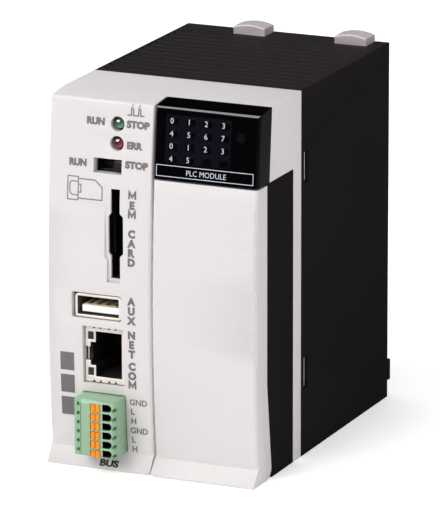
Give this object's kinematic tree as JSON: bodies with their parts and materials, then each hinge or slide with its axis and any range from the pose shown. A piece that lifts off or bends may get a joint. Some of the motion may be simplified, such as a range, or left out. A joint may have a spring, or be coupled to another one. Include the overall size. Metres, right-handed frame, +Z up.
{
  "type": "programmable logic controller module",
  "caption": "Upright rack controller module with ports and a status window in front, a drop-down terminal door, a pull-off spring-clamp plug and press-down rack locks.",
  "frame": {"origin": "middle of the footprint, on the surface that the module stands on", "axes": "+X to the module's right seen from the front, +Y from the front to the rack, +Z up"},
  "size_m": [0.0596, 0.1014, 0.1027],
  "materials": {
    "dark_case": "fine satin grain",
    "light_case": "fine satin grain",
    "smoked_window": "polished, smoked",
    "dark_insert": "moulded matt",
    "circuit_board": "solder resist",
    "emitter": "clear resin",
    "green_lamp": "tinted dome",
    "red_lamp": "tinted dome",
    "amber_lamp": "unlit light pipe",
    "pin_steel": "drawn wire",
    "label_paper": "printed film",
    "plated_screw": "zinc plated",
    "tinned_metal": "tin plated sheet",
    "gilt_contact": "gilt",
    "white_insert": "moulded",
    "switch_nub": "moulded",
    "plug_green": "moulded",
    "lever_orange": "moulded",
    "lock_grey": "moulded",
    "capacitor_can": "sleeved can",
    "battery_steel": "nickel plated"
  },
  "bodies": {
    "case": {"battery_holder": "dark_insert", "block_fixing_screws": "plated_screw", "board_capacitors": "capacitor_can", "board_chips": "dark_insert", "board_connector": "dark_insert", "bus_connector": "dark_insert", "bus_contacts": "gilt_contact", "card_contacts": "gilt_contact", "card_socket": "dark_insert", "channel_emitters": "emitter", "clock_battery": "battery_steel", "cpu_board": "circuit_board", "display_board": "circuit_board", "fault_lamp": "red_lamp", "front_cover": "light_case", "io_board": "circuit_board", "led_window": "smoked_window", "lock_spring_left": "pin_steel", "lock_spring_right": "pin_steel", "mode_switch_body": "dark_insert", "network_contacts": "gilt_contact", "network_insert": "dark_insert", "network_lamps": "amber_lamp", "network_shield": "tinned_metal", "network_transformer": "dark_insert", "plug_header": "plug_green", "plug_header_pins": "gilt_contact", "processor_chip": "dark_insert", "rear_housing": "dark_case", "run_lamp": "green_lamp", "terminal_bay": "dark_case", "terminal_block": "dark_insert", "terminal_header": "dark_insert", "terminal_header_pins": "gilt_contact", "terminal_screws": "plated_screw", "terminal_washers": "plated_screw", "usb_contacts": "gilt_contact", "usb_shell": "tinned_metal", "usb_tongue": "white_insert", "window_light_guide": "dark_insert"},
    "door": {"terminal_door": "light_case", "door_hinge_pins": "pin_steel", "door_label": "label_paper"},
    "plug": {"terminal_plug": "plug_green", "plug_clamps": "pin_steel"},
    "mode_slider": {"mode_switch_slider": "switch_nub"},
    "left_lock": {"lock_button_left": "lock_grey"},
    "right_lock": {"lock_button_right": "lock_grey"},
    "lever_1": {"plug_lever_1": "lever_orange"},
    "lever_2": {"plug_lever_2": "lever_orange"},
    "lever_3": {"plug_lever_3": "lever_orange"},
    "lever_4": {"plug_lever_4": "lever_orange"},
    "lever_5": {"plug_lever_5": "lever_orange"},
    "lever_6": {"plug_lever_6": "lever_orange"}
  },
  "joints": [
    {"name": "door_hinge", "type": "hinge", "parent": "case", "child": "door", "pos_m": [0, -0.03585, 0.003], "axis": [1, 0, 0], "range_deg": [0, 95]},
    {"name": "mode_switch_slide", "type": "slide", "parent": "case", "child": "mode_slider", "axis": [-1, 0, 0], "range_m": [0, 0.0053]},
    {"name": "plug_pull", "type": "slide", "parent": "case", "child": "plug", "axis": [0, -1, 0], "range_m": [0, 0.012]},
    {"name": "left_lock_press", "type": "slide", "parent": "case", "child": "left_lock", "axis": [0, 0, -1], "range_m": [0, 0.003], "stiffness_N_per_m": 400, "springref_m": -0.001, "deforming": ["lock_spring_left"]},
    {"name": "right_lock_press", "type": "slide", "parent": "case", "child": "right_lock", "axis": [0, 0, -1], "range_m": [0, 0.003], "stiffness_N_per_m": 400, "springref_m": -0.001, "deforming": ["lock_spring_right"]},
    {"name": "lever_1_press", "type": "slide", "parent": "plug", "child": "lever_1", "axis": [0, 1, 0], "range_m": [0, 0.0013], "stiffness_N_per_m": 600, "springref_m": -0.0003},
    {"name": "lever_2_press", "type": "slide", "parent": "plug", "child": "lever_2", "axis": [0, 1, 0], "range_m": [0, 0.0013], "stiffness_N_per_m": 600, "springref_m": -0.0003},
    {"name": "lever_3_press", "type": "slide", "parent": "plug", "child": "lever_3", "axis": [0, 1, 0], "range_m": [0, 0.0013], "stiffness_N_per_m": 600, "springref_m": -0.0003},
    {"name": "lever_4_press", "type": "slide", "parent": "plug", "child": "lever_4", "axis": [0, 1, 0], "range_m": [0, 0.0013], "stiffness_N_per_m": 600, "springref_m": -0.0003},
    {"name": "lever_5_press", "type": "slide", "parent": "plug", "child": "lever_5", "axis": [0, 1, 0], "range_m": [0, 0.0013], "stiffness_N_per_m": 600, "springref_m": -0.0003},
    {"name": "lever_6_press", "type": "slide", "parent": "plug", "child": "lever_6", "axis": [0, 1, 0], "range_m": [0, 0.0013], "stiffness_N_per_m": 600, "springref_m": -0.0003}
  ]
}
